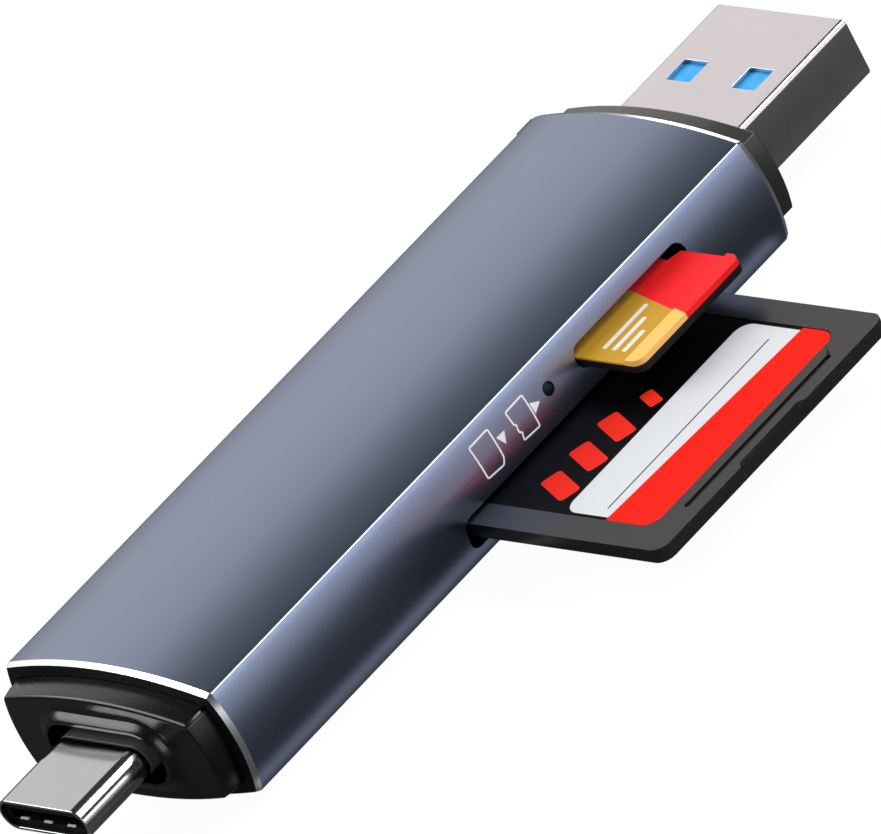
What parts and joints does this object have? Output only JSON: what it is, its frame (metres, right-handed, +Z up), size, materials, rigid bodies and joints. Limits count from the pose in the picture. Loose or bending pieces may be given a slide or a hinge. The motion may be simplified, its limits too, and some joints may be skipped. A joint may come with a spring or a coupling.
{
  "type": "usb memory card reader",
  "caption": "Slim metal card reader with a USB A plug at one end and a USB C plug at the other, and an SD card and a micro SD card part-way into slots in its side.",
  "frame": {"origin": "on the USB A plug's axis, in the plane of the outer face of the USB A end insert", "axes": "+Y along the body towards the USB A plug's mouth, +X the way the cards come out, +Z up, away from the SD card's side of the board"},
  "size_m": [0.0385, 0.08, 0.0104],
  "materials": {
    "housing": "satin anodised, blue-grey",
    "a_insert": "fine matt, dark grey",
    "c_insert": "glossy black",
    "bright_steel": "bright plated sheet",
    "dark_steel": "dark plated sheet",
    "blue_plastic": "moulded",
    "black_plastic": "moulded",
    "gold": "gold plated",
    "spring_steel": "bright",
    "board": "glass-filled laminate with green solder mask",
    "chip": "moulded package",
    "crystal_can": "plated can",
    "capacitor": "ceramic",
    "resistor": "ceramic with dark coat",
    "lamp": "clear resin",
    "card_grey": "fine matt, dark grey",
    "label": "printed film",
    "slider": "moulded",
    "micro_card": "moulded with a printed face"
  },
  "bodies": {
    "reader": {"housing_tube": "housing", "usb_a_end_insert": "a_insert", "usb_c_end_insert": "c_insert", "usb_a_shell": "bright_steel", "usb_a_insulator": "blue_plastic", "usb_a_contacts": "gold", "usb_c_shell": "bright_steel", "usb_c_rear_shell": "dark_steel", "usb_c_insulator": "black_plastic", "usb_c_contacts": "gold", "usb_c_latch_springs": "spring_steel", "circuit_board": "board", "controller_chip": "chip", "crystal": "crystal_can", "regulator": "chip", "chip_capacitors": "capacitor", "chip_resistors": "resistor", "status_led": "lamp", "sd_socket_frame": "black_plastic", "sd_socket_cover": "spring_steel", "sd_socket_contacts": "gold", "microsd_socket_frame": "black_plastic", "microsd_socket_cover": "spring_steel", "microsd_socket_contacts": "gold"},
    "sd_card": {"sd_card_top_shell": "card_grey", "sd_card_bottom_shell": "card_grey", "sd_card_board": "board", "sd_card_memory": "chip", "sd_card_pads": "gold", "sd_card_label": "label"},
    "write_protect": {"write_protect_slider": "slider"},
    "microsd_card": {"microsd_card": "micro_card", "microsd_pads": "gold"}
  },
  "joints": [
    {"name": "sd_card_slide", "type": "slide", "parent": "reader", "child": "sd_card", "axis": [1, 0, 0], "range_m": [0, 0.012]},
    {"name": "microsd_card_slide", "type": "slide", "parent": "reader", "child": "microsd_card", "axis": [1, 0, 0], "range_m": [0, 0.009]},
    {"name": "write_protect_slide", "type": "slide", "parent": "sd_card", "child": "write_protect", "axis": [1, 0, 0], "range_m": [0, 0.0022]}
  ]
}
